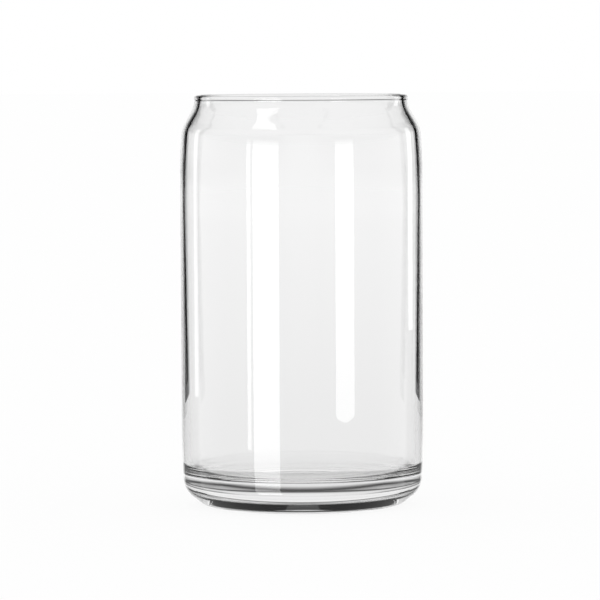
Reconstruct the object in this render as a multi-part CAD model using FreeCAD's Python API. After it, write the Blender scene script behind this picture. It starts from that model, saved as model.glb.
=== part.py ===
import FreeCAD, Part
import math
import os

# Can shaped drinking glass, blown in one piece: a straight body, a short shoulder that
# pulls in to a beaded rim, a chamfered heel and a thick base with a hollow underneath.
# Millimetres and degrees. The axis is Z, the surface it stands on is z = 0.

# Overall size
OVERALL_HEIGHT = 129.5
BODY_DIAMETER = 76.4

# Rim: a fire-polished round bead, a little proud of the neck on both sides
BEAD_RADIUS = 1.0
BEAD_PROUD = 0.15
BEAD_DROP = 0.05
BEAD_BLEND = 1.2
BEAD_PATCHES = 5

# Shoulder: hollow sweep under the bead, slanted stretch, round turn, slow run into the body
SHOULDER_STEP = 4.65
SHOULDER_SLANT = 31.0
NECK_SWEEP_RADIUS = 9.0
SHOULDER_TURN_RADIUS = 9.0
SHOULDER_RUN_IN_ANGLE = 5.0
SHOULDER_RUN_IN_RADIUS = 130.0

# Wall: thinnest in the upper body, thicker towards the rim and evenly thicker towards the base
NECK_WALL = 1.8
THIN_WALL = 1.3
WALL_TAPER = 0.86

# Heel: slow run out of the body, upper round, chamfer, lower round
HEEL_RUN_OUT_ANGLE = 3.8
HEEL_RUN_OUT_RADIUS = 240.0
HEEL_UPPER_RADIUS = 6.75
HEEL_CHAMFER = 2.9
HEEL_SLANT = 39.85
HEEL_LOWER_RADIUS = 6.05

# Foot ring that the glass stands on, and the shallow hollow inside it
FOOT_RING_WIDTH = 7.0
FOOT_INNER_ROUND = 4.0
HOLLOW_HEIGHT = 2.5
HOLLOW_ROUND = 42.0

# Inside floor: raised a little in the middle, with a round corner into the wall
BASE_THICKNESS = 10.0
FLOOR_CROWN = 0.6
FLOOR_CORNER_RADIUS = 3.85


def point(radius, height):
    """A point of the section, which lies in the XZ plane."""
    return FreeCAD.Vector(radius, 0.0, height)


def on_circle(centre, radius, angle):
    """The point of a circle at an angle in degrees, counted from +X towards +Z."""
    turn = math.radians(angle)
    return centre + point(radius * math.cos(turn), radius * math.sin(turn))


def arc(centre, radius, start, end):
    """The arc of a circle from one angle to another, in degrees."""
    middle = (start + end) / 2.0
    return Part.Arc(
        on_circle(centre, radius, start),
        on_circle(centre, radius, middle),
        on_circle(centre, radius, end),
    ).toShape()


def line(start, end):
    """A straight stretch of the section."""
    return Part.LineSegment(start, end).toShape()


def angle_of(centre, place):
    """The angle in degrees at which a place is seen from a centre."""
    return math.degrees(math.atan2(place.z - centre.z, place.x - centre.x))


def lower_meeting(first, first_reach, second, second_reach):
    """The lower of the two points at given distances from two centres."""
    apart = (second - first).Length
    along = (apart**2 + first_reach**2 - second_reach**2) / (2.0 * apart)
    aside = math.sqrt(first_reach**2 - along**2)
    way = (second - first) / apart
    down = point(way.z, -way.x)
    if down.z > 0:
        down = down * -1.0
    return first + way * along + down * aside


BODY_RADIUS = BODY_DIAMETER / 2.0
NECK_RADIUS = BODY_RADIUS - SHOULDER_STEP
BEAD_CENTRE = point(NECK_RADIUS + BEAD_PROUD - BEAD_RADIUS, OVERALL_HEIGHT - BEAD_RADIUS)
NECK_CENTRE = point(NECK_RADIUS + NECK_SWEEP_RADIUS, BEAD_CENTRE.z - BEAD_DROP)


class Shoulder:
    """The shoulder's centres, shared by the outside and the inside of the wall."""

    def __init__(self):
        slant = math.radians(SHOULDER_SLANT)
        run_in = math.radians(SHOULDER_RUN_IN_ANGLE)
        sweep_step = NECK_SWEEP_RADIUS * (1.0 - math.cos(slant))
        turn_step = SHOULDER_TURN_RADIUS * (math.cos(run_in) - math.cos(slant))
        run_in_step = SHOULDER_RUN_IN_RADIUS * (1.0 - math.cos(run_in))
        slant_length = (SHOULDER_STEP - sweep_step - turn_step - run_in_step) / math.sin(slant)
        sweep_end = on_circle(NECK_CENTRE, NECK_SWEEP_RADIUS, 180.0 + SHOULDER_SLANT)
        slant_end = sweep_end + point(math.sin(slant), -math.cos(slant)) * slant_length
        self.turn_centre = slant_end - point(math.cos(slant), math.sin(slant)) * SHOULDER_TURN_RADIUS

    def edges(self, inset, sweep_start):
        """The shoulder from the neck down to the turn's end, a given depth under the outer face."""
        sweep_radius = NECK_SWEEP_RADIUS + inset
        turn_radius = SHOULDER_TURN_RADIUS - inset
        sweep_end = 180.0 + SHOULDER_SLANT
        return [
            arc(NECK_CENTRE, sweep_radius, sweep_start, sweep_end),
            line(
                on_circle(NECK_CENTRE, sweep_radius, sweep_end),
                on_circle(self.turn_centre, turn_radius, SHOULDER_SLANT),
            ),
            arc(self.turn_centre, turn_radius, SHOULDER_SLANT, SHOULDER_RUN_IN_ANGLE),
        ]

    def run_in(self, inset, wall, lean):
        """The slow curve from the turn's end to a face at a given depth and lean.

        inset is the depth at the turn, wall the depth at the curve's widest point and lean
        the angle at which it ends. Gives the edge and its lower end.
        """
        start = on_circle(self.turn_centre, SHOULDER_TURN_RADIUS - inset, SHOULDER_RUN_IN_ANGLE)
        gap = BODY_RADIUS - wall - start.x
        radius = gap / (1.0 - math.cos(math.radians(SHOULDER_RUN_IN_ANGLE)))
        centre = on_circle(start, -radius, SHOULDER_RUN_IN_ANGLE)
        return arc(centre, radius, SHOULDER_RUN_IN_ANGLE, -lean), on_circle(centre, radius, -lean)


def rim():
    """The bead with a small round on each side, and the angles at which the neck starts."""
    beside = BEAD_RADIUS + BEAD_BLEND
    outer = lower_meeting(BEAD_CENTRE, beside, NECK_CENTRE, NECK_SWEEP_RADIUS - BEAD_BLEND)
    inner_reach = NECK_SWEEP_RADIUS + NECK_WALL + BEAD_BLEND
    inner = lower_meeting(BEAD_CENTRE, beside, NECK_CENTRE, inner_reach)
    outer_start = angle_of(NECK_CENTRE, outer) % 360.0
    inner_start = angle_of(NECK_CENTRE, inner) % 360.0
    bead_right = angle_of(BEAD_CENTRE, outer)
    bead_left = angle_of(BEAD_CENTRE, inner) % 360.0
    patch = (bead_left - bead_right) / BEAD_PATCHES
    edges = [arc(outer, BEAD_BLEND, outer_start, bead_right + 180.0)]
    for i in range(BEAD_PATCHES):
        start = bead_right + patch * i
        edges.append(arc(BEAD_CENTRE, BEAD_RADIUS, start, start + patch))
    edges.append(arc(inner, BEAD_BLEND, bead_left - 180.0, inner_start - 180.0))
    return edges, outer_start, inner_start


def underside(foot_inner):
    """From the axis underneath over the shallow hollow to the foot ring's inner edge."""
    reach = HOLLOW_ROUND + FOOT_INNER_ROUND
    turn = math.degrees(math.acos(1.0 - HOLLOW_HEIGHT / reach))
    ring_centre = foot_inner + point(0.0, FOOT_INNER_ROUND)
    hollow_centre = on_circle(ring_centre, -reach, 90.0 - turn)
    hollow_edge = on_circle(hollow_centre, HOLLOW_ROUND, 90.0)
    return [
        line(point(0.0, HOLLOW_HEIGHT), hollow_edge),
        arc(hollow_centre, HOLLOW_ROUND, 90.0, 90.0 - turn),
        arc(ring_centre, FOOT_INNER_ROUND, 270.0 - turn, 270.0),
    ]


def heel(body_top):
    """The outer face from the axis underneath, over the foot ring and heel, up the body."""
    slant = math.radians(HEEL_SLANT)
    run_out = math.radians(HEEL_RUN_OUT_ANGLE)
    lower_step = HEEL_LOWER_RADIUS * math.sin(slant)
    upper_step = HEEL_UPPER_RADIUS * (math.cos(run_out) - math.sin(slant))
    run_out_step = HEEL_RUN_OUT_RADIUS * (1.0 - math.cos(run_out))
    chamfer = point(math.cos(slant), math.sin(slant)) * HEEL_CHAMFER
    foot_outer = point(BODY_RADIUS - run_out_step - upper_step - chamfer.x - lower_step, 0.0)
    foot_inner = foot_outer - point(FOOT_RING_WIDTH, 0.0)
    lower_centre = foot_outer + point(0.0, HEEL_LOWER_RADIUS)
    chamfer_start = on_circle(lower_centre, HEEL_LOWER_RADIUS, HEEL_SLANT - 90.0)
    chamfer_end = chamfer_start + chamfer
    upper_centre = chamfer_end + point(-math.sin(slant), math.cos(slant)) * HEEL_UPPER_RADIUS
    upper_end = on_circle(upper_centre, HEEL_UPPER_RADIUS, -HEEL_RUN_OUT_ANGLE)
    run_out_centre = on_circle(upper_end, -HEEL_RUN_OUT_RADIUS, -HEEL_RUN_OUT_ANGLE)
    return underside(foot_inner) + [
        line(foot_inner, foot_outer),
        arc(lower_centre, HEEL_LOWER_RADIUS, -90.0, HEEL_SLANT - 90.0),
        line(chamfer_start, chamfer_end),
        arc(upper_centre, HEEL_UPPER_RADIUS, HEEL_SLANT - 90.0, -HEEL_RUN_OUT_ANGLE),
        arc(run_out_centre, HEEL_RUN_OUT_RADIUS, -HEEL_RUN_OUT_ANGLE, 0.0),
        line(on_circle(run_out_centre, HEEL_RUN_OUT_RADIUS, 0.0), body_top),
    ]


def inside(wall_top):
    """The inner face from the shoulder down the leaning wall, round the corner, to the axis."""
    taper = math.radians(WALL_TAPER)
    corner_height = BASE_THICKNESS + FLOOR_CORNER_RADIUS
    drop = (wall_top.z - corner_height) * math.tan(taper)
    corner_centre = point(wall_top.x - drop - FLOOR_CORNER_RADIUS / math.cos(taper), corner_height)
    corner_top = on_circle(corner_centre, FLOOR_CORNER_RADIUS, -WALL_TAPER)
    rise = 2.0 * math.degrees(math.atan(FLOOR_CROWN / corner_centre.x))
    crown_radius = corner_centre.x / math.sin(math.radians(rise)) - FLOOR_CORNER_RADIUS
    crown_centre = point(0.0, BASE_THICKNESS + FLOOR_CROWN - crown_radius)
    return [
        line(wall_top, corner_top),
        arc(corner_centre, FLOOR_CORNER_RADIUS, -WALL_TAPER, -90.0 - rise),
        arc(crown_centre, crown_radius, 90.0 - rise, 90.0),
    ]


def can_glass():
    """The whole glass: its section turned once round the axis."""
    shoulder = Shoulder()
    rim_edges, outer_start, inner_start = rim()
    outer_run_in, body_top = shoulder.run_in(0.0, 0.0, 0.0)
    inner_run_in, wall_top = shoulder.run_in(NECK_WALL, THIN_WALL, WALL_TAPER)
    axis = line(point(0.0, HOLLOW_HEIGHT), point(0.0, BASE_THICKNESS + FLOOR_CROWN))
    edges = heel(body_top) + [outer_run_in] + shoulder.edges(0.0, outer_start) + rim_edges
    edges += shoulder.edges(NECK_WALL, inner_start) + [inner_run_in] + inside(wall_top) + [axis]
    section = Part.Face(Part.Wire(Part.sortEdges(edges)[0]))
    return section.revolve(point(0.0, 0.0), FreeCAD.Vector(0.0, 0.0, 1.0), 360.0)


os.makedirs("parts", exist_ok=True)
can_glass().exportStep("parts/can_glass.step")
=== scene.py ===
import logging
import math
from dataclasses import dataclass, field
from enum import Enum

import bmesh
import bpy
from mathutils import Matrix, Vector


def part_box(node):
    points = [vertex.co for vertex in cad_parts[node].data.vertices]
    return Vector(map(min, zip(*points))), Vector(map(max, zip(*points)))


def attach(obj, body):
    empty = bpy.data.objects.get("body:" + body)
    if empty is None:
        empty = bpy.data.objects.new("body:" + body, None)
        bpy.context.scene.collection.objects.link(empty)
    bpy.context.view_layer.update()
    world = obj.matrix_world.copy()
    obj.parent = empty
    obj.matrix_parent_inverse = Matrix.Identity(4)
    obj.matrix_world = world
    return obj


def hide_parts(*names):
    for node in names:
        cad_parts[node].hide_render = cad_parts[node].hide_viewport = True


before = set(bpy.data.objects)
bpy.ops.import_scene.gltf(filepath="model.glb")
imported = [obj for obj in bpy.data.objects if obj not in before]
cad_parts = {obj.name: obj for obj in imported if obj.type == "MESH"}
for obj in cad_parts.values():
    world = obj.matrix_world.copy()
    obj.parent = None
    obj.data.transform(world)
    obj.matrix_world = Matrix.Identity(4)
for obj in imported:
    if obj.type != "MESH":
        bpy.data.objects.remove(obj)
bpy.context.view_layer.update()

LOG = logging.getLogger("can_glass")
MM = 0.001
QUARTER_TURN = 90.0
HALF_TURN = 180.0
FULL_TURN = 360.0
NODE = "can_glass"
BODY = "root"

Place = tuple[float, float]
Span = tuple[float, float]


class Face(Enum):
    """The side of the glass that a stretch of the section belongs to, as the ripple reads it."""

    OUTER = 0.0
    INNER = 1.0


class Course(Enum):
    """How a mapped value goes from one end of its span to the other."""

    STRAIGHT = "LINEAR"
    EASED = "SMOOTHSTEP"


def on_circle(centre: Place, radius: float, angle: float) -> Place:
    """Gives the point of a circle at an angle.

    Args:
        centre: the circle's centre as distance from the axis and height.
        radius: the circle's own radius.
        angle: in degrees, counted from outwards towards upwards.

    Returns:
        The point as distance from the axis and height.
    """
    turn = math.radians(angle)
    return centre[0] + radius * math.cos(turn), centre[1] + radius * math.sin(turn)


def angle_of(centre: Place, place: Place) -> float:
    """Gives the angle in degrees at which a place is seen from a centre, from 0 to a full turn."""
    return math.degrees(math.atan2(place[1] - centre[1], place[0] - centre[0])) % FULL_TURN


def lower_meeting(first: Place, first_reach: float, second: Place, second_reach: float) -> Place:
    """Finds the lower of the two places at given distances from two centres.

    Args:
        first: the first centre.
        first_reach: distance from the first centre.
        second: the second centre.
        second_reach: distance from the second centre.

    Returns:
        The place as distance from the axis and height.
    """
    start = Vector(first)
    apart = Vector(second) - start
    span = apart.length
    along = (span**2 + first_reach**2 - second_reach**2) / (2.0 * span)
    aside = math.sqrt(first_reach**2 - along**2)
    way = apart / span
    down = Vector((way.y, -way.x))
    if down.y > 0.0:
        down = -down
    found = start + way * along + down * aside
    return found.x, found.y


def grey(level: float) -> tuple[float, float, float, float]:
    """Gives the opaque grey of a level."""
    return level, level, level, 1.0


@dataclass
class SectionLine:
    """The section drawn as a row of points, close together where it curves.

    Args:
        arc_step: the largest turn between two points of an arc, in degrees.
        shortest: the distance under which two points of an arc aren't set closer.
        longest: the largest distance between two points.
        same_place: the distance under which a straight stretch is left out.
        points: the points drawn so far.
        faces: the side of the glass for each point.
    """

    arc_step: float = 2.5
    shortest: float = 0.1 * MM
    longest: float = 2.0 * MM
    same_place: float = 0.01 * MM
    points: list[Place] = field(default_factory=list)
    faces: list[Face] = field(default_factory=list)

    def go_to(self, place: Place, face: Face) -> None:
        """Goes straight from the last point to a new one.

        Args:
            place: the new point.
            face: the side of the glass.
        """
        if not self.points:
            self._add(place, face)
            return
        start = self.points[-1]
        length = math.dist(start, place)
        if length < self.same_place:
            return
        count = max(1, math.ceil(length / self.longest))
        across = place[0] - start[0]
        up = place[1] - start[1]
        for i in range(1, count + 1):
            share = i / count
            self._add((start[0] + across * share, start[1] + up * share), face)

    def arc(self, centre: Place, radius: float, start: float, end: float, face: Face) -> None:
        """Draws an arc, after a straight stretch to its first point.

        Args:
            centre: the arc's centre.
            radius: the arc's radius.
            start: angle of its first point in degrees.
            end: angle of its last point in degrees.
            face: the side of the glass.
        """
        turn = abs(end - start)
        length = math.radians(turn) * radius
        fine = min(math.ceil(turn / self.arc_step), math.ceil(length / self.shortest))
        count = max(2, fine, math.ceil(length / self.longest))
        self.go_to(on_circle(centre, radius, start), face)
        for i in range(1, count + 1):
            self._add(on_circle(centre, radius, start + (end - start) * i / count), face)

    def _add(self, place: Place, face: Face) -> None:
        """Adds one point."""
        self.points.append(place)
        self.faces.append(face)


@dataclass(frozen=True)
class GlassSection:
    """The glass's section from its sizes, in metres and degrees.

    The height and the body's radius come from the frame, the rest is as in the part's source.

    Args:
        height: from the foot to the top of the bead.
        body_radius: of the outer face where it is widest.
        bead_radius: of the rim's round bead.
        bead_proud: how far the bead stands out of the neck.
        bead_drop: how far under the bead's centre the neck is narrowest.
        bead_blend: radius of the small hollow that joins the bead to the neck on both sides.
        shoulder_step: how much smaller the neck's radius is than the body's.
        shoulder_slant: the shoulder's largest slant from upright.
        neck_sweep_radius: of the outer face's hollow curve from the neck to the shoulder.
        shoulder_turn_radius: of the outer face's round turn at the shoulder.
        run_in_angle: the body's slant from upright where it meets the shoulder's turn.
        run_in_radius: of the long curve in which the body comes in to that slant.
        neck_wall: the wall's thickness from the rim to the shoulder's turn.
        thin_wall: the wall's thickness at the top of the body.
        wall_taper: the inner face's slant from upright, by which the wall thickens downwards.
        run_out_angle: the body's slant from upright where it meets the heel.
        run_out_radius: of the long curve in which the body comes out of that slant.
        heel_upper_radius: of the round over the heel's chamfer.
        heel_chamfer: length of the chamfer.
        heel_slant: the chamfer's slant from level.
        heel_lower_radius: of the round from the foot ring to the chamfer.
        foot_ring_width: of the flat ring that the glass stands on.
        foot_inner_round: radius of the round from the foot ring to the hollow.
        hollow_height: of the hollow's flat middle over the foot.
        hollow_round: radius of the curve from the hollow's flat middle down to the foot.
        base_thickness: height of the floor's edge over the foot.
        floor_crown: how much higher the floor's middle is than its edge.
        floor_corner_radius: of the round between the floor and the inner wall.
    """

    height: float
    body_radius: float
    bead_radius: float = 1.0 * MM
    bead_proud: float = 0.15 * MM
    bead_drop: float = 0.05 * MM
    bead_blend: float = 1.2 * MM
    shoulder_step: float = 4.65 * MM
    shoulder_slant: float = 31.0
    neck_sweep_radius: float = 9.0 * MM
    shoulder_turn_radius: float = 9.0 * MM
    run_in_angle: float = 5.0
    run_in_radius: float = 130.0 * MM
    neck_wall: float = 1.8 * MM
    thin_wall: float = 1.3 * MM
    wall_taper: float = 0.86
    run_out_angle: float = 3.8
    run_out_radius: float = 240.0 * MM
    heel_upper_radius: float = 6.75 * MM
    heel_chamfer: float = 2.9 * MM
    heel_slant: float = 39.85
    heel_lower_radius: float = 6.05 * MM
    foot_ring_width: float = 7.0 * MM
    foot_inner_round: float = 4.0 * MM
    hollow_height: float = 2.5 * MM
    hollow_round: float = 42.0 * MM
    base_thickness: float = 10.0 * MM
    floor_crown: float = 0.6 * MM
    floor_corner_radius: float = 3.85 * MM

    def line(self) -> SectionLine:
        """Draws the section from the axis underneath round to the axis inside.

        Returns:
            The section.
        """
        line = SectionLine()
        self._underside_and_heel(line)
        self._body_and_rim(line)
        self._inner_wall(line)
        self._floor(line)
        return line

    def _underside_and_heel(self, line: SectionLine) -> None:
        """Draws the hollow underneath, the foot ring and the heel, up to the body.

        Args:
            line: the section, which it goes on with.
        """
        slant = math.radians(self.heel_slant)
        chamfer = (math.cos(slant) * self.heel_chamfer, math.sin(slant) * self.heel_chamfer)
        run_out = math.radians(self.run_out_angle)
        taken = self.run_out_radius * (1.0 - math.cos(run_out))
        taken += self.heel_upper_radius * (math.cos(run_out) - math.sin(slant))
        taken += chamfer[0] + self.heel_lower_radius * math.sin(slant)
        foot_outer = self.body_radius - taken
        foot_inner = foot_outer - self.foot_ring_width
        reach = self.hollow_round + self.foot_inner_round
        turn = math.acos(1.0 - self.hollow_height / reach)
        hollow_centre = (foot_inner - reach * math.sin(turn), self.hollow_height - self.hollow_round)
        ring_centre = (foot_inner, self.foot_inner_round)
        turned = math.degrees(turn)
        down = HALF_TURN + QUARTER_TURN
        line.go_to((0.0, self.hollow_height), Face.OUTER)
        line.arc(hollow_centre, self.hollow_round, QUARTER_TURN, QUARTER_TURN - turned, Face.OUTER)
        line.arc(ring_centre, self.foot_inner_round, down - turned, down, Face.OUTER)
        lower = (foot_outer, self.heel_lower_radius)
        facing = self.heel_slant - QUARTER_TURN
        line.arc(lower, self.heel_lower_radius, -QUARTER_TURN, facing, Face.OUTER)
        start = line.points[-1]
        end = (start[0] + chamfer[0], start[1] + chamfer[1])
        upper = on_circle(end, self.heel_upper_radius, self.heel_slant + QUARTER_TURN)
        line.arc(upper, self.heel_upper_radius, facing, -self.run_out_angle, Face.OUTER)
        run_out_centre = on_circle(line.points[-1], -self.run_out_radius, -self.run_out_angle)
        line.arc(run_out_centre, self.run_out_radius, -self.run_out_angle, 0.0, Face.OUTER)

    def _body_and_rim(self, line: SectionLine) -> None:
        """Draws the body, the shoulder and the bead, round to the inner side of the neck.

        Args:
            line: the section, which it goes on with.
        """
        neck = self.body_radius - self.shoulder_step
        bead = (neck + self.bead_proud - self.bead_radius, self.height - self.bead_radius)
        sweep = self._sweep()
        turn, run_in = self._turn_and_run_in()
        line.arc(run_in, self.run_in_radius, 0.0, self.run_in_angle, Face.OUTER)
        line.arc(turn, self.shoulder_turn_radius, self.run_in_angle, self.shoulder_slant, Face.OUTER)

        inner_sweep = self.neck_sweep_radius + self.neck_wall
        beside_bead = self.bead_radius + self.bead_blend
        outer = lower_meeting(bead, beside_bead, sweep, self.neck_sweep_radius - self.bead_blend)
        inner = lower_meeting(bead, beside_bead, sweep, inner_sweep + self.bead_blend)
        outer_start = angle_of(sweep, outer)
        inner_start = angle_of(sweep, inner)
        right = angle_of(bead, outer) - FULL_TURN
        left = angle_of(bead, inner)
        sweep_end = HALF_TURN + self.shoulder_slant
        line.arc(sweep, self.neck_sweep_radius, sweep_end, outer_start, Face.OUTER)
        line.arc(outer, self.bead_blend, outer_start, right + HALF_TURN, Face.OUTER)
        line.arc(bead, self.bead_radius, right, left, Face.INNER)
        line.arc(inner, self.bead_blend, left - HALF_TURN, inner_start - HALF_TURN, Face.INNER)
        line.arc(sweep, inner_sweep, inner_start, sweep_end, Face.INNER)

    def _sweep(self) -> Place:
        """Gives the centre of the neck's sweep."""
        neck = self.body_radius - self.shoulder_step
        return neck + self.neck_sweep_radius, self.height - self.bead_radius - self.bead_drop

    def _turn_and_run_in(self) -> tuple[Place, Place]:
        """Finds the centres of the shoulder's turn and of its run into the body.

        Returns:
            The two centres.
        """
        slant = math.radians(self.shoulder_slant)
        run_in = math.radians(self.run_in_angle)
        taken = self.neck_sweep_radius * (1.0 - math.cos(slant))
        taken += self.shoulder_turn_radius * (math.cos(run_in) - math.cos(slant))
        taken += self.run_in_radius * (1.0 - math.cos(run_in))
        length = (self.shoulder_step - taken) / math.sin(slant)
        sweep_end = on_circle(self._sweep(), self.neck_sweep_radius, HALF_TURN + self.shoulder_slant)
        slant_end = on_circle(sweep_end, length, self.shoulder_slant - QUARTER_TURN)
        turn = on_circle(slant_end, -self.shoulder_turn_radius, self.shoulder_slant)
        turn_end = on_circle(turn, self.shoulder_turn_radius, self.run_in_angle)
        return turn, on_circle(turn_end, -self.run_in_radius, self.run_in_angle)

    def _inner_wall(self, line: SectionLine) -> None:
        """Draws the inner face of the shoulder, down to where the wall is thin.

        Args:
            line: the section, which it goes on with.
        """
        turn, _ = self._turn_and_run_in()
        inner_turn = self.shoulder_turn_radius - self.neck_wall
        line.arc(turn, inner_turn, self.shoulder_slant, self.run_in_angle, Face.INNER)
        start = line.points[-1]
        gap = self.body_radius - self.thin_wall - start[0]
        inner_run_in = gap / (1.0 - math.cos(math.radians(self.run_in_angle)))
        centre = on_circle(start, -inner_run_in, self.run_in_angle)
        line.arc(centre, inner_run_in, self.run_in_angle, -self.wall_taper, Face.INNER)

    def _floor(self, line: SectionLine) -> None:
        """Draws the rest of the inner wall, which thickens downwards, the corner and the floor.

        Args:
            line: the section, which it goes on with.
        """
        taper = math.radians(self.wall_taper)
        wall = line.points[-1]
        height = self.base_thickness + self.floor_corner_radius
        reach = wall[0] * math.cos(taper) - (wall[1] - height) * math.sin(taper) - self.floor_corner_radius
        corner = (reach / math.cos(taper), height)
        rise = 2.0 * math.degrees(math.atan(self.floor_crown / corner[0]))
        crown_radius = corner[0] / math.sin(math.radians(rise)) - self.floor_corner_radius
        crown = (0.0, self.base_thickness + self.floor_crown - crown_radius)
        line.arc(corner, self.floor_corner_radius, -self.wall_taper, -QUARTER_TURN - rise, Face.INNER)
        line.arc(crown, crown_radius, QUARTER_TURN - rise, QUARTER_TURN, Face.INNER)


class NodeBench:
    """A node tree with short calls to add and join nodes."""

    def __init__(self, tree: bpy.types.NodeTree) -> None:
        """Keeps the tree."""
        self.tree = tree

    def add(self, kind: str, inputs: dict | None = None, **settings: object) -> bpy.types.Node:
        """Adds a node.

        Args:
            kind: the node's type.
            inputs: a value or an output socket for each input, by name or number.
            settings: properties of the node.

        Returns:
            The node.
        """
        node = self.tree.nodes.new(kind)
        for name, value in settings.items():
            setattr(node, name, value)
        for key, value in (inputs or {}).items():
            if isinstance(value, bpy.types.NodeSocket):
                self.join(value, node.inputs[key])
            else:
                node.inputs[key].default_value = value
        return node

    def join(self, source: bpy.types.NodeSocket, target: bpy.types.NodeSocket) -> None:
        """Joins an output to an input."""
        self.tree.links.new(source, target)

    def maths(self, operation: str, *values: object) -> bpy.types.NodeSocket:
        """Adds a maths node and gives its result."""
        return self.add("ShaderNodeMath", dict(enumerate(values)), operation=operation).outputs[0]

    def mix(self, first: object, second: object, share: object) -> bpy.types.NodeSocket:
        """Mixes two levels by a share of the second."""
        return self.add("ShaderNodeMix", {0: share, 2: first, 3: second}, data_type="FLOAT").outputs[0]

    def mapped(
        self, value: bpy.types.NodeSocket, given: Span, wanted: Span, course: Course = Course.STRAIGHT
    ) -> bpy.types.NodeSocket:
        """Maps a value from one span to another and holds it at the ends.

        Args:
            value: the value.
            given: the span that it is read over.
            wanted: the span that comes out.
            course: how it goes from end to end.

        Returns:
            The mapped value.
        """
        inputs = {
            "Value": value,
            "From Min": given[0],
            "From Max": given[1],
            "To Min": wanted[0],
            "To Max": wanted[1],
        }
        return self.add("ShaderNodeMapRange", inputs, interpolation_type=course.value).outputs[0]

    def ramp(
        self, angle: bpy.types.NodeSocket, stops: tuple[tuple[float, float], ...]
    ) -> bpy.types.NodeSocket:
        """Gives a level that follows an angle from stop to stop.

        Args:
            angle: the angle in radians.
            stops: angles in degrees, each with its level.

        Returns:
            The level.
        """
        ramp = self.add("ShaderNodeValToRGB", {0: self.maths("DIVIDE", angle, math.pi)})
        elements = ramp.color_ramp.elements
        elements.remove(elements[-1])
        for i, (degrees, level) in enumerate(stops):
            element = elements[0] if i == 0 else elements.new(degrees / HALF_TURN)
            element.position = degrees / HALF_TURN
            element.color = grey(level)
        return ramp.outputs[0]


@dataclass(frozen=True)
class Ripple:
    """The faint unevenness that the mould and the fire leave in the inner face.

    Args:
        height: from the lowest to the highest that it can move the face.
        size: how far apart its swells lie.
        middle: the pattern's value that leaves the face where it is.
        detail: how finely the pattern is divided.
        seed: which pattern it is.
    """

    height: float = 0.02 * MM
    size: float = 16.0 * MM
    middle: float = 0.5
    detail: float = 1.0
    seed: int = 7


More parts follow.
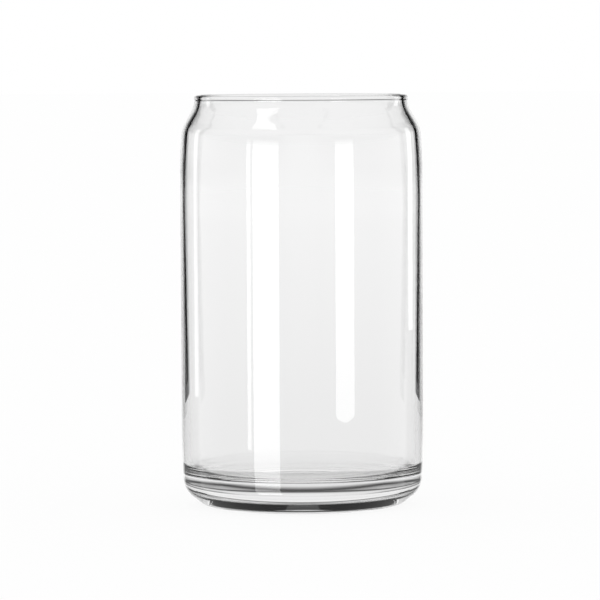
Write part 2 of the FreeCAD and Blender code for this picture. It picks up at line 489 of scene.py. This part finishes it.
@dataclass(frozen=True)
class TurnedGlass:
    """The glass, turned from its section by a tree of geometry nodes.

    Args:
        section: the section.
        ripple: the unevenness of the inner face.
        segments: how many faces go round the axis.
        merge_distance: the distance under which points are joined, as they are on the axis.
    """

    section: GlassSection
    ripple: Ripple
    segments: int = 240
    merge_distance: float = 0.001 * MM

    def build(self, material: bpy.types.Material) -> bpy.types.Object:
        """Turns the glass and puts it in the place of its CAD node.

        Args:
            material: the finish of the whole piece.

        Returns:
            The finished piece.
        """
        holder = self._section_object(self.section.line())
        tree, sockets = self._tree()
        modifier = holder.modifiers.new("turned_glass", "NODES")
        modifier.node_group = tree
        values = {
            "Segments": self.segments,
            "Ripple Height": self.ripple.height,
            "Ripple Size": self.ripple.size,
            "Seed": self.ripple.seed,
            "Merge Distance": self.merge_distance,
            "Material": material,
        }
        for name, value in values.items():
            modifier[sockets[name]] = value
        evaluated = holder.evaluated_get(bpy.context.evaluated_depsgraph_get())
        mesh = bpy.data.meshes.new_from_object(evaluated)
        holder.modifiers.remove(modifier)
        bpy.data.objects.remove(holder)
        self._face_outwards(mesh)
        mesh.name = "glass_body"
        piece = bpy.data.objects.new("glass_body", mesh)
        bpy.context.scene.collection.objects.link(piece)
        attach(piece, BODY)
        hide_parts(NODE)
        return piece

    @staticmethod
    def _section_object(line: SectionLine) -> bpy.types.Object:
        """Makes an object whose points are the section, with the side of the glass on each.

        Args:
            line: the section.

        Returns:
            The object.
        """
        mesh = bpy.data.meshes.new("section")
        places = [(radius, 0.0, height) for radius, height in line.points]
        mesh.from_pydata(places, [(i, i + 1) for i in range(len(places) - 1)], [])
        inner = mesh.attributes.new("inner", "FLOAT", "POINT")
        inner.data.foreach_set("value", [face.value for face in line.faces])
        holder = bpy.data.objects.new("section", mesh)
        bpy.context.scene.collection.objects.link(holder)
        return holder

    def _tree(self) -> tuple[bpy.types.NodeTree, dict[str, str]]:
        """Builds the tree that turns a section round the axis.

        Returns:
            The tree and the identifier of each of its named inputs.
        """
        tree = bpy.data.node_groups.new("turned_glass", "GeometryNodeTree")
        kinds = {
            "Section": "NodeSocketGeometry",
            "Segments": "NodeSocketInt",
            "Ripple Height": "NodeSocketFloat",
            "Ripple Size": "NodeSocketFloat",
            "Seed": "NodeSocketInt",
            "Merge Distance": "NodeSocketFloat",
            "Material": "NodeSocketMaterial",
        }
        sockets = {}
        for name, kind in kinds.items():
            sockets[name] = tree.interface.new_socket(name, in_out="INPUT", socket_type=kind).identifier
        tree.interface.new_socket("Glass", in_out="OUTPUT", socket_type="NodeSocketGeometry")
        bench = NodeBench(tree)
        given = bench.add("NodeGroupInput").outputs
        merging = {"Geometry": self._turned(bench, given), "Distance": given["Merge Distance"]}
        merged = bench.add("GeometryNodeMergeByDistance", merging).outputs[0]
        rippled = self._rippled(bench, given, merged)
        smooth = bench.add("GeometryNodeSetShadeSmooth", {"Geometry": rippled}).outputs[0]
        real = bench.add("GeometryNodeRealizeInstances", {"Geometry": smooth}).outputs[0]
        dressed = bench.add("GeometryNodeSetMaterial", {"Geometry": real, "Material": given["Material"]})
        bench.add("NodeGroupOutput", {0: dressed.outputs[0]})
        return tree, sockets

    @staticmethod
    def _turned(bench: NodeBench, given: bpy.types.bpy_prop_collection) -> bpy.types.NodeSocket:
        """Lays a grid, one column to each point of the section, round the axis.

        Args:
            bench: the tree.
            given: the tree's own inputs.

        Returns:
            The turned wall, with the side of the glass on each point.
        """
        sized = bench.add("GeometryNodeAttributeDomainSize", {"Geometry": given["Section"]})
        count = sized.outputs["Point Count"]
        last = bench.maths("SUBTRACT", count, 1.0)
        grid = bench.add(
            "GeometryNodeMeshGrid",
            {
                "Size X": last,
                "Size Y": given["Segments"],
                "Vertices X": count,
                "Vertices Y": bench.maths("ADD", given["Segments"], 1.0),
            },
        )
        # The grid lies round its middle, so half its size is added to count from its first row and column.
        place = bench.add("ShaderNodeSeparateXYZ", {0: bench.add("GeometryNodeInputPosition").outputs[0]})
        half = bench.maths("MULTIPLY", last, 0.5)
        column = bench.maths("ROUND", bench.maths("ADD", place.outputs["X"], half))
        turn = bench.maths("ADD", bench.maths("DIVIDE", place.outputs["Y"], given["Segments"]), 0.5)
        angle = bench.maths("MULTIPLY", turn, 2.0 * math.pi)
        point = bench.add("GeometryNodeInputPosition").outputs[0]
        drawing = {"Geometry": given["Section"], "Value": point, "Index": column}
        drawn_point = bench.add("GeometryNodeSampleIndex", drawing, data_type="FLOAT_VECTOR").outputs[0]
        drawn = bench.add("ShaderNodeSeparateXYZ", {0: drawn_point}).outputs
        round_place = bench.add(
            "ShaderNodeCombineXYZ",
            {
                "X": bench.maths("MULTIPLY", drawn["X"], bench.maths("COSINE", angle)),
                "Y": bench.maths("MULTIPLY", drawn["X"], bench.maths("SINE", angle)),
                "Z": drawn["Z"],
            },
        )
        side = bench.add("GeometryNodeInputNamedAttribute", {"Name": "inner"}, data_type="FLOAT")
        marking = {"Geometry": given["Section"], "Value": side.outputs["Attribute"], "Index": column}
        mark = bench.add("GeometryNodeSampleIndex", marking, data_type="FLOAT").outputs[0]
        marked = bench.add(
            "GeometryNodeStoreNamedAttribute",
            {"Geometry": grid.outputs["Mesh"], "Name": "inner", "Value": mark},
            data_type="FLOAT",
            domain="POINT",
        )
        placing = {"Geometry": marked.outputs[0], "Position": round_place.outputs[0]}
        return bench.add("GeometryNodeSetPosition", placing).outputs[0]

    def _rippled(
        self, bench: NodeBench, given: bpy.types.bpy_prop_collection, solid: bpy.types.NodeSocket
    ) -> bpy.types.NodeSocket:
        """Moves the inner face a little along its normal, by a smooth pattern.

        Args:
            bench: the tree.
            given: the tree's own inputs.
            solid: the turned glass.

        Returns:
            The rippled glass.
        """
        scaling = {
            0: bench.add("GeometryNodeInputPosition").outputs[0],
            "Scale": bench.maths("DIVIDE", 1.0, given["Ripple Size"]),
        }
        grown = bench.add("ShaderNodeVectorMath", scaling, operation="SCALE")
        noise = bench.add(
            "ShaderNodeTexNoise",
            {"Vector": grown.outputs[0], "W": given["Seed"], "Scale": 1.0, "Detail": self.ripple.detail},
            noise_dimensions="4D",
        )
        inner = bench.add("GeometryNodeInputNamedAttribute", {"Name": "inner"}, data_type="FLOAT")
        off_middle = bench.maths("SUBTRACT", noise.outputs[0], self.ripple.middle)
        swing = bench.maths("MULTIPLY", off_middle, given["Ripple Height"])
        moving = {
            0: bench.add("GeometryNodeInputNormal").outputs[0],
            "Scale": bench.maths("MULTIPLY", swing, inner.outputs["Attribute"]),
        }
        offset = bench.add("ShaderNodeVectorMath", moving, operation="SCALE")
        placing = {"Geometry": solid, "Offset": offset.outputs[0]}
        return bench.add("GeometryNodeSetPosition", placing).outputs[0]

    @staticmethod
    def _face_outwards(mesh: bpy.types.Mesh) -> None:
        """Turns every face of the closed wall outwards.

        Args:
            mesh: the glass's mesh.
        """
        work = bmesh.new()
        work.from_mesh(mesh)
        bmesh.ops.recalc_face_normals(work, faces=work.faces)
        work.to_mesh(mesh)
        work.free()


@dataclass(frozen=True)
class ClearGlass:
    """Clear soda-lime glass, with the faint unevenness of a fired surface.

    Args:
        refraction: how strongly the glass bends light.
        clear_tint: its level where it is clearest.
        grey_tint: its level where it is greyest.
        tint_scale: how close together clear and grey patches lie.
        tint_detail: how finely these are divided.
        smoothest: the roughness of clean glass.
        roughest: the roughness where a film of water dried.
        film_scale: how close together the patches of film lie.
        film_detail: how finely these are divided.
        film_span: the pattern's values between which the film begins and is full.
        wave_scale: how close together the surface's waves lie.
        wave_detail: how finely these are divided.
        wave_height: how high they are.
    """

    refraction: float = 1.52
    clear_tint: float = 0.985
    grey_tint: float = 0.975
    tint_scale: float = 22.0
    tint_detail: float = 2.0
    smoothest: float = 0.0
    roughest: float = 0.012
    film_scale: float = 60.0
    film_detail: float = 3.0
    film_span: Span = (0.45, 0.75)
    wave_scale: float = 55.0
    wave_detail: float = 1.0
    wave_height: float = 0.012 * MM

    def build(self) -> bpy.types.Material:
        """Makes the material.

        Returns:
            The material.
        """
        material = bpy.data.materials.new("clear_glass")
        material.use_nodes = True
        bench = NodeBench(material.node_tree)
        place = bench.add("ShaderNodeTexCoord").outputs["Object"]
        cloud = self._noise(bench, place, self.tint_scale, self.tint_detail)
        tints = {0: cloud, 6: grey(self.clear_tint), 7: grey(self.grey_tint)}
        tint = bench.add("ShaderNodeMix", tints, data_type="RGBA").outputs[2]
        film = self._noise(bench, place, self.film_scale, self.film_detail)
        rough = bench.mapped(film, self.film_span, (self.smoothest, self.roughest))
        wave = self._noise(bench, place, self.wave_scale, self.wave_detail)
        bump = bench.add("ShaderNodeBump", {"Height": wave, "Distance": self.wave_height})
        shader = material.node_tree.nodes["Principled BSDF"].inputs
        shader["IOR"].default_value = self.refraction
        shader["Transmission Weight"].default_value = 1.0
        bench.join(tint, shader["Base Color"])
        bench.join(rough, shader["Roughness"])
        bench.join(bump.outputs[0], shader["Normal"])
        return material

    @staticmethod
    def _noise(
        bench: NodeBench, place: bpy.types.NodeSocket, scale: float, detail: float
    ) -> bpy.types.NodeSocket:
        """Gives a smooth pattern over the glass's own place."""
        inputs = {"Vector": place, "Scale": scale, "Detail": detail}
        return bench.add("ShaderNodeTexNoise", inputs).outputs[0]


def blank_material(name: str) -> tuple[bpy.types.Material, NodeBench]:
    """Makes a material without nodes.

    Args:
        name: what it is called.

    Returns:
        The material and the bench of its tree.
    """
    material = bpy.data.materials.new(name)
    material.use_nodes = True
    material.node_tree.nodes.clear()
    return material, NodeBench(material.node_tree)


@dataclass(frozen=True)
class FloorWhite:
    """The floor's finish, which keeps a part of the glass's shadow. Where the glass shows the floor, its
    glow carries a painted shade that darkens it towards the glass.

    Args:
        level: of the surface that takes the shadow.
        plain_share: share of even white where the camera sees the floor itself.
        through_share: share of even light where the glass shows the floor.
        near: a distance from the glass, in metres, and how bright the glass shows the floor there, a
            painted shade that is darkest near the glass.
        far: the same further off, where the painted shade fades out.
    """

    level: float = 0.9
    plain_share: float = 0.92
    through_share: float = 0.9
    near: Span = (0.2, 0.885)
    far: Span = (1.8, 0.985)

    def build(self) -> bpy.types.Material:
        """Makes the material.

        Returns:
            The material.
        """
        material, bench = blank_material("floor_white")
        path = bench.add("ShaderNodeLightPath").outputs
        place = bench.add("ShaderNodeTexCoord").outputs["Object"]
        away = bench.add("ShaderNodeVectorMath", {0: place}, operation="LENGTH").outputs["Value"]
        # Painted shade: where the glass shows the floor, its glow is dimmer close to the glass.
        reach = (math.sqrt(self.near[0]), math.sqrt(self.far[0]))
        painted_shade = bench.mapped(bench.maths("SQRT", away), reach, (self.near[1], self.far[1]))
        level = bench.mix(painted_shade, 1.0, path["Is Camera Ray"])
        pale = bench.add("ShaderNodeBsdfDiffuse", {"Color": grey(self.level)})
        white = bench.add("ShaderNodeEmission", {"Strength": level})
        seen = bench.maths("MULTIPLY", path["Is Camera Ray"], self.plain_share)
        through = bench.maths("MULTIPLY", path["Is Transmission Ray"], self.through_share)
        share = bench.maths("MAXIMUM", seen, through)
        both = bench.add("ShaderNodeMixShader", {0: share, 1: pale.outputs[0], 2: white.outputs[0]})
        bench.add("ShaderNodeOutputMaterial", {0: both.outputs[0]})
        return material


@dataclass(frozen=True)
class FlagBlack:
    """The dark cards' finish: black on a path that the glass has mirrored, otherwise clear.

    Args:
        level: of the black.
        mirrored: the count of mirrorings that lies between none and one.
    """

    level: float = 0.01
    mirrored: float = 0.5

    def build(self) -> bpy.types.Material:
        """Makes the material.

        Returns:
            The material.
        """
        material, bench = blank_material("flag_black")
        depth = bench.add("ShaderNodeLightPath").outputs["Glossy Depth"]
        share = bench.maths("GREATER_THAN", depth, self.mirrored)
        black = bench.add("ShaderNodeBsdfDiffuse", {"Color": grey(self.level)})
        clear = bench.add("ShaderNodeBsdfTransparent")
        both = bench.add("ShaderNodeMixShader", {0: share, 1: clear.outputs[0], 2: black.outputs[0]})
        bench.add("ShaderNodeOutputMaterial", {0: both.outputs[0]})
        return material


@dataclass(frozen=True)
class Stand:
    """Where an upright panel's edge stands, seen from above.

    Args:
        bearing: in degrees from straight behind the glass, positive to the right.
        reach: distance from the glass's axis, in metres.
    """

    bearing: float
    reach: float

    def place(self, height: float) -> Vector:
        """Gives the point of the edge at a height."""
        turn = math.radians(self.bearing)
        return Vector((math.sin(turn) * self.reach, math.cos(turn) * self.reach, height))


@dataclass(frozen=True)
class Strip:
    """An upright light that the glass mirrors as a bright strip.

    Args:
        name: what the light is called.
        start: bearing of one edge, in degrees from straight behind the glass.
        end: bearing of its other edge.
        bottom: height of its lower end, in metres.
        level: how bright it is.
        top: height of its upper end.
        fade: length over which its top fades out.
        lean: how far its top end is turned on, in degrees.
        rounding: height of its rounded lower end.
        reach: its distance from the glass's axis.
        end_points: how many stretches its lower end is drawn with.
    """

    name: str
    start: float
    end: float
    bottom: float
    level: float
    top: float = 0.23
    fade: float = 0.06
    lean: float = 0.0
    rounding: float = 0.0
    reach: float = 0.8
    end_points: int = 16

    def lower_end(self) -> list[Vector]:
        """Gives the points of its lower end.

        Returns:
            The points, from the first edge to the last.
        """
        first = Stand(self.start, self.reach).place(self.bottom)
        last = Stand(self.end, self.reach).place(self.bottom)
        points = []
        for i in range(self.end_points + 1):
            share = i / self.end_points
            lift = self.rounding * (1.0 - math.sqrt(1.0 - (2.0 * share - 1.0) ** 2))
            points.append(first.lerp(last, share) + Vector((0.0, 0.0, lift)))
        return points

    def upper_end(self) -> list[Vector]:
        """Gives the two corners of its upper end, from the last edge to the first."""
        return [Stand(edge + self.lean, self.reach).place(self.top) for edge in (self.end, self.start)]

    def light(self) -> bpy.types.Material:
        """Makes its finish, which shines evenly and fades out at the top.

        Returns:
            The material.
        """
        material, bench = blank_material(self.name)
        place = bench.add("ShaderNodeTexCoord").outputs["Object"]
        height = bench.add("ShaderNodeSeparateXYZ", {0: place}).outputs["Z"]
        level = bench.mapped(height, (self.top - self.fade, self.top), (self.level, 0.0), Course.EASED)
        light = bench.add("ShaderNodeEmission", {"Strength": level})
        bench.add("ShaderNodeOutputMaterial", {0: light.outputs[0]})
        return material


@dataclass(frozen=True)
class Flag:
    """A dark upright card that the wall of the glass shows as its dark outline.

    Args:
        name: what the card is called.
        inner: its edge that is nearer to the middle.
        outer: its other edge.
        bottom: height of its lower end, in metres.
        top: height of its upper end.
    """

    name: str
    inner: Stand
    outer: Stand
    bottom: float = 0.0125
    top: float = 0.6

    def lower_end(self) -> list[Vector]:
        """Gives its two lower corners, from the inner edge to the outer."""
        return [side.place(self.bottom) for side in (self.inner, self.outer)]

    def upper_end(self) -> list[Vector]:
        """Gives its two upper corners, from the outer edge to the inner."""
        return [side.place(self.top) for side in (self.outer, self.inner)]


# The bearing of the camera's side. The broad strips are mirrored from there, and the two at the outline
# from behind the glass.
FRONT = HALF_TURN

STRIPS = (
    Strip("wide_light", start=FRONT + 21.0, end=FRONT + 45.9, bottom=-0.5, level=4.4),
    Strip("thin_light", start=FRONT + 48.2, end=FRONT + 52.0, bottom=-0.075, level=4.0),
    Strip("right_light", start=FRONT - 31.2, end=FRONT - 49.4, bottom=-0.0395, level=3.8, rounding=0.0035),
    Strip("left_edge_light", start=-58.3, end=-65.5, bottom=-0.03, level=2.2, top=0.35),
    Strip("right_edge_light", start=51.6, end=60.6, bottom=0.003, level=2.2, top=0.35),
    Strip("neck_light", start=FRONT + 24.0, end=FRONT + 52.0, bottom=0.6, level=3.0, top=1.3, lean=12.0),
)

FLAGS = tuple(
    Flag(name, inner=Stand(side * 34.0, 0.181), outer=Stand(side * 46.9, 0.219))
    for name, side in (("left_flag", -1.0), ("right_flag", 1.0))
)

# How bright the room is where the glass bends the view to it: degrees over the horizon, and the level.
# The dark stretch gives the base its dark bands.
BACKDROP = (
    (0.0, 0.985),
    (3.0, 0.975),
    (5.0, 0.83),
    (8.0, 0.8),
    (10.5, 0.45),
    (13.5, 0.15),
    (16.5, 0.02),
    (19.5, 0.16),
    (22.5, 0.36),
    (26.0, 0.4),
    (31.0, 0.6),
)

# How bright the room is where the glass mirrors it: degrees from straight behind, and the level.
SURROUND = (
    (0.0, 1.0),
    (18.3, 1.0),
    (20.3, 0.37),
    (60.0, 0.37),
    (66.0, 0.95),
    (90.0, 0.6),
    (105.0, 0.37),
)


@dataclass(frozen=True)
class Room:
    """The room: white behind the glass, graded where the glass bends it, dimmer where it is mirrored.

    Args:
        arch_drop: how much lower the backdrop's levels lie to the sides, for each unit of the squared
            sideways part of a direction.
        arch_width: the squared sideways part at which that ends.
        mirrored_top: height in degrees over which the mirrored room has one level.
        mirrored_fade: half the height in degrees of the change to it.
        high_level: that level.
        flattest: the least level part of a direction, so that nothing is divided by zero.
    """

    arch_drop: float = 3.0
    arch_width: float = 0.28
    mirrored_top: float = 10.0
    mirrored_fade: float = 2.5
    high_level: float = 0.37
    flattest: float = 0.001

    def build(self) -> None:
        """Makes the world and sets it as the scene's."""
        world = bpy.data.worlds.new("room")
        bpy.context.scene.world = world
        world.use_nodes = True
        bench = NodeBench(world.node_tree)
        path = bench.add("ShaderNodeLightPath").outputs
        direction = bench.add("ShaderNodeTexCoord").outputs["Generated"]
        way = bench.add("ShaderNodeSeparateXYZ", {0: direction}).outputs
        rise = bench.maths("ARCSINE", way["Z"])
        unbent = bench.maths("SUBTRACT", 1.0, path["Is Transmission Ray"])
        glossy = bench.maths("MULTIPLY", path["Is Glossy Ray"], unbent)
        level = bench.mix(1.0, self._bent(bench, way, rise), path["Is Transmission Ray"])
        level = bench.mix(level, self._mirrored(bench, way, rise), glossy)
        level = bench.mix(level, 1.0, path["Is Camera Ray"])
        background = world.node_tree.nodes["Background"].inputs
        background["Color"].default_value = grey(1.0)
        bench.join(level, background["Strength"])

    def _bent(
        self, bench: NodeBench, way: bpy.types.bpy_prop_collection, rise: bpy.types.NodeSocket
    ) -> bpy.types.NodeSocket:
        """Gives the level of what the glass bends.

        Args:
            bench: the tree.
            way: the three parts of the direction.
            rise: the direction's angle over the horizon.

        Returns:
            The level.
        """
        aside = bench.maths("MINIMUM", bench.maths("MULTIPLY", way["X"], way["X"]), self.arch_width)
        arched = bench.maths("MULTIPLY", rise, bench.maths("MULTIPLY_ADD", aside, self.arch_drop, 1.0))
        return bench.ramp(arched, BACKDROP)

    def _mirrored(
        self, bench: NodeBench, way: bpy.types.bpy_prop_collection, rise: bpy.types.NodeSocket
    ) -> bpy.types.NodeSocket:
        """Gives the level of what the glass mirrors.

        Args:
            bench: the tree.
            way: the three parts of the direction.
            rise: the direction's angle over the horizon.

        Returns:
            The level.
        """
        flat = bench.maths("MAXIMUM", bench.maths("COSINE", rise), self.flattest)
        bearing = bench.maths("ARCCOSINE", bench.maths("DIVIDE", way["Y"], flat))
        fade_start = math.radians(self.mirrored_top - self.mirrored_fade)
        fade_end = math.radians(self.mirrored_top + self.mirrored_fade)
        high = bench.mapped(rise, (fade_start, fade_end), (0.0, 1.0), Course.EASED)
        return bench.mix(bench.ramp(bearing, SURROUND), self.high_level, high)


@dataclass(frozen=True)
class Studio:
    """The floor, the room, the lights and the dark cards.

    Args:
        floor_reach: how far the floor goes from the glass, in metres.
        floor_drop: how far it lies under the foot, so that the two don't touch.
    """

    floor_reach: float = 12.0
    floor_drop: float = 0.1 * MM

    def build(self) -> None:
        """Makes the whole studio."""
        Room().build()
        self._floor()
        black = FlagBlack().build()
        for flag in FLAGS:
            self._panel(flag, black)
        for strip in STRIPS:
            self._panel(strip, strip.light()).visible_transmission = False

    def _floor(self) -> None:
        """Makes the plain pale floor."""
        reach = self.floor_reach
        corners = [(-reach, -reach), (reach, -reach), (reach, reach), (-reach, reach)]
        mesh = bpy.data.meshes.new("floor")
        mesh.from_pydata([(x, y, -self.floor_drop) for x, y in corners], [], [(0, 1, 2, 3)])
        mesh.materials.append(FloorWhite().build())
        floor = bpy.data.objects.new("floor", mesh)
        floor.visible_glossy = False
        bpy.context.scene.collection.objects.link(floor)

    @staticmethod
    def _panel(shape: Strip | Flag, material: bpy.types.Material) -> bpy.types.Object:
        """Makes an upright light or card, which only the glass sees.

        Args:
            shape: the light or the card.
            material: its finish.

        Returns:
            The panel.
        """
        points = shape.lower_end() + shape.upper_end()
        mesh = bpy.data.meshes.new(shape.name)
        mesh.from_pydata(points, [], [tuple(range(len(points)))])
        mesh.materials.append(material)
        panel = bpy.data.objects.new(shape.name, mesh)
        panel.visible_camera = False
        panel.visible_diffuse = False
        panel.visible_shadow = False
        bpy.context.scene.collection.objects.link(panel)
        return panel


@dataclass(frozen=True)
class PhotoCamera:
    """A camera at the photograph's viewing angle.

    Args:
        distance: from the glass's axis, in metres.
        height: over the floor.
        aim: height that it looks at.
        aside: how far it stands to the right of the glass's axis.
        focal: focal length in pixels of the picture.
        roll: how far the picture leans to the left, in degrees.
        width: the picture's width in pixels.
        sensor: width of the sensor in millimetres.
        nearest: the distance from which it sees.
        farthest: the distance up to which it sees.
    """

    distance: float = 1.309
    height: float = 0.1444
    aim: float = 0.06467
    aside: float = -0.0006
    focal: float = 4149.0
    roll: float = 0.29
    width: float = 600.0
    sensor: float = 36.0
    nearest: float = 0.05
    farthest: float = 60.0

    def build(self) -> bpy.types.Object:
        """Makes the camera and sets it as the scene's.

        Returns:
            The camera.
        """
        data = bpy.data.cameras.new("camera")
        data.sensor_width = self.sensor
        data.lens = self.focal / self.width * self.sensor
        data.clip_start = self.nearest
        data.clip_end = self.farthest
        camera = bpy.data.objects.new("camera", data)
        place = Vector((self.aside, -self.distance, self.height))
        look = Vector((self.aside, 0.0, self.aim)) - place
        lean = Matrix.Rotation(math.radians(-self.roll), 3, "Z")
        turned = look.to_track_quat("-Z", "Y").to_matrix() @ lean
        camera.rotation_mode = "QUATERNION"
        camera.rotation_quaternion = turned.to_quaternion()
        camera.location = place
        bpy.context.scene.collection.objects.link(camera)
        bpy.context.scene.camera = camera
        return camera


def main() -> None:
    """Builds the camera, the studio and the glass."""
    logging.basicConfig(level=logging.INFO)
    bpy.context.scene.view_settings.view_transform = "Standard"
    camera = PhotoCamera().build()
    LOG.info("%s: %.3f m from the glass", camera.name, camera.location.length)
    Studio().build()
    LOG.info("studio: %d lights, %d dark cards", len(STRIPS), len(FLAGS))
    low, high = (Vector(corner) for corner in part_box(NODE))
    section = GlassSection(height=high.z - low.z, body_radius=(high.x - low.x) / 2.0)
    glass = TurnedGlass(section, Ripple()).build(ClearGlass().build())
    LOG.info("%s: %d faces", glass.name, len(glass.data.polygons))


if __name__ == "__main__":
    main()
